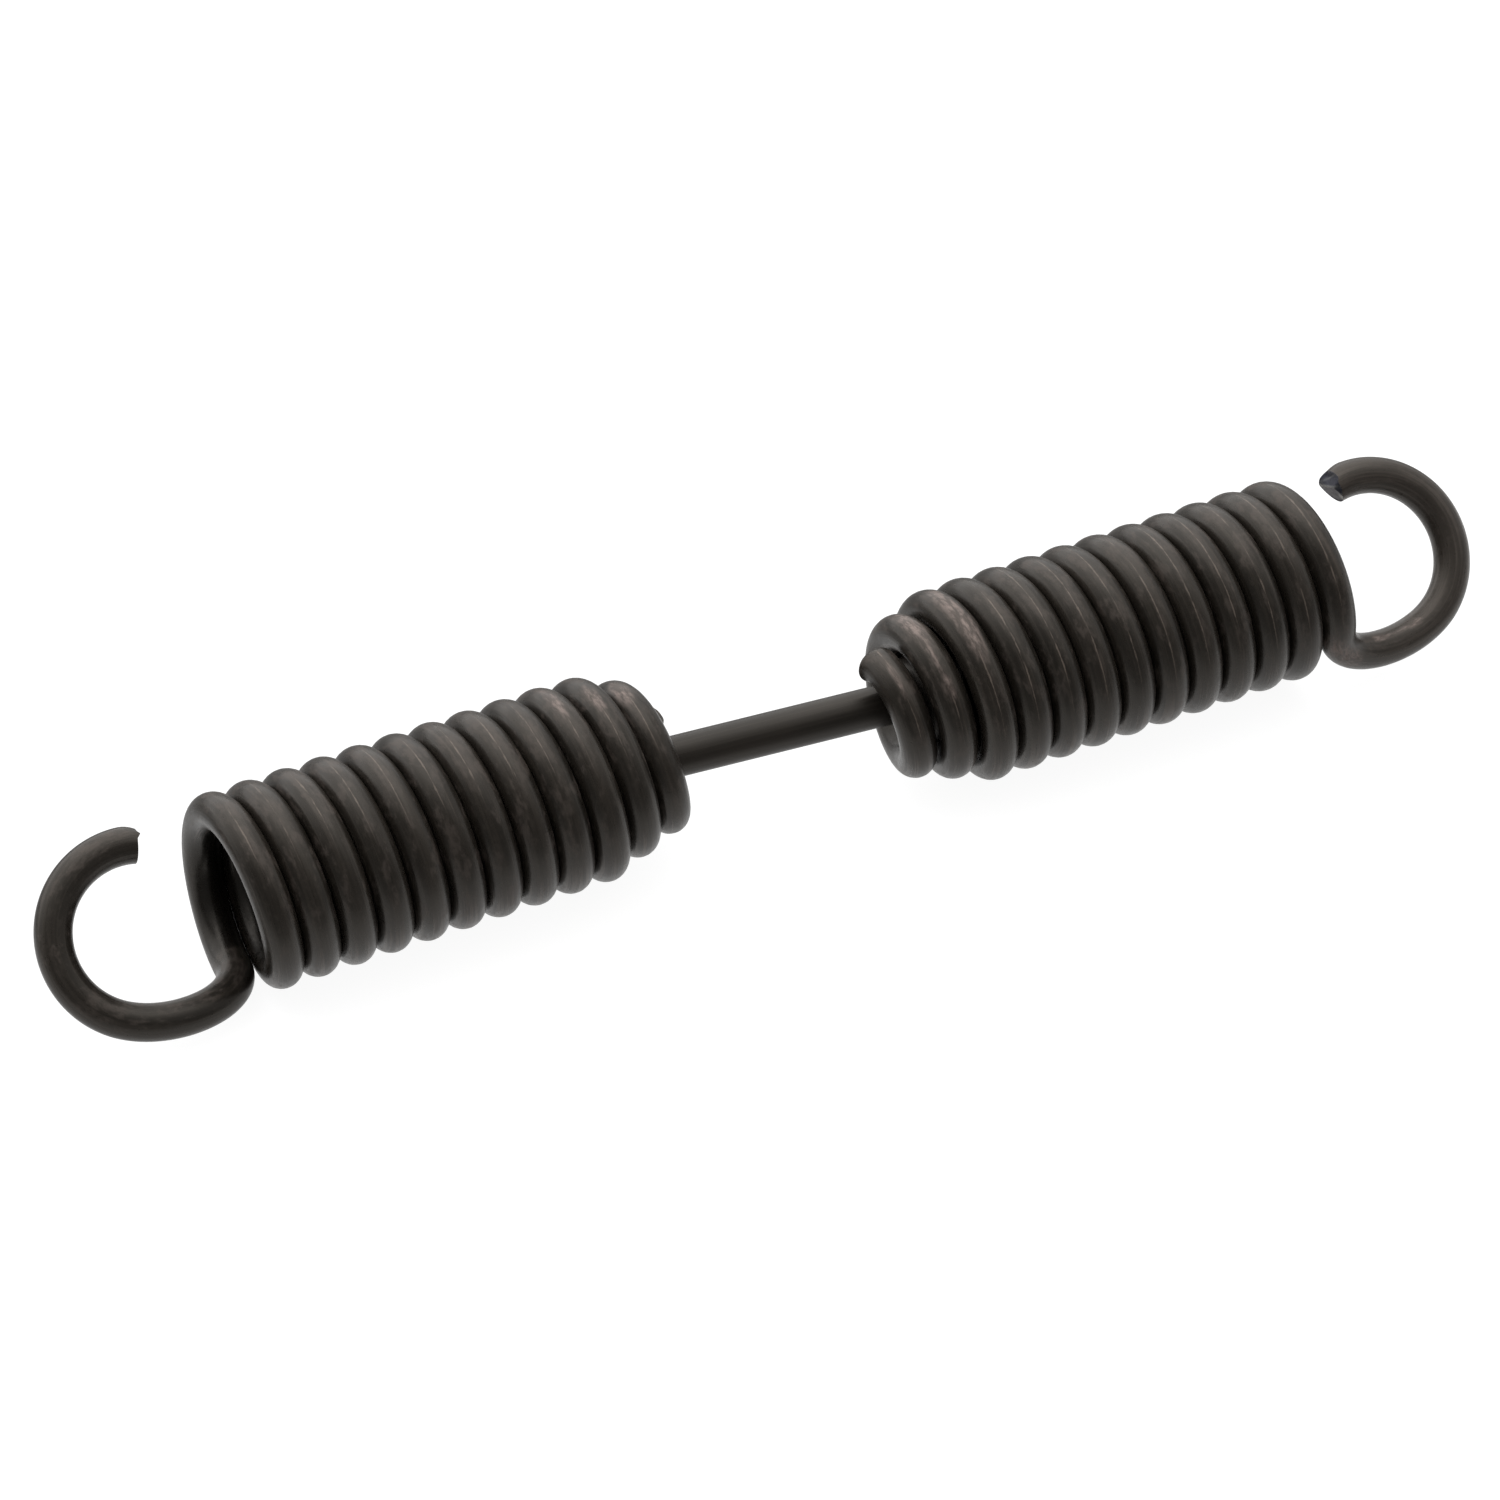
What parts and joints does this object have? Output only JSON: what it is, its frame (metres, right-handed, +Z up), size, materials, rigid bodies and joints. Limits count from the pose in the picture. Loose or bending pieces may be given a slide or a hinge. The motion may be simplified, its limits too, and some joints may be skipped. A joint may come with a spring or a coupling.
{
  "type": "brake return spring",
  "caption": "Brake return spring: close-wound coils with open end hooks, joined by a straight rod whose heads swivel in the coils' coned inner ends.",
  "frame": {"origin": "middle of the connecting rod, which is the centre of the bounding box", "axes": "+X along the spring towards the right coil's hook, +Z up from the surface that the coils lie on, +Y away from the camera"},
  "size_m": [0.2302, 0.0354, 0.0304],
  "materials": {
    "spring_steel": "dark oiled phosphate, satin, scuffed on the crests",
    "rod_steel": "dark oiled phosphate, satin"
  },
  "bodies": {
    "rod": {"connecting_rod": "rod_steel"},
    "left_spring": {"left_coil": "spring_steel"},
    "right_spring": {"right_coil": "spring_steel"}
  },
  "joints": [
    {"name": "left_swivel", "type": "hinge", "parent": "rod", "child": "left_spring", "pos_m": [-0.02499, 0.0025, 0], "axis": [1, 0, 0], "continuous": true},
    {"name": "right_swivel", "type": "hinge", "parent": "rod", "child": "right_spring", "pos_m": [0.02499, -0.0025, 0], "axis": [1, 0, 0], "continuous": true}
  ]
}
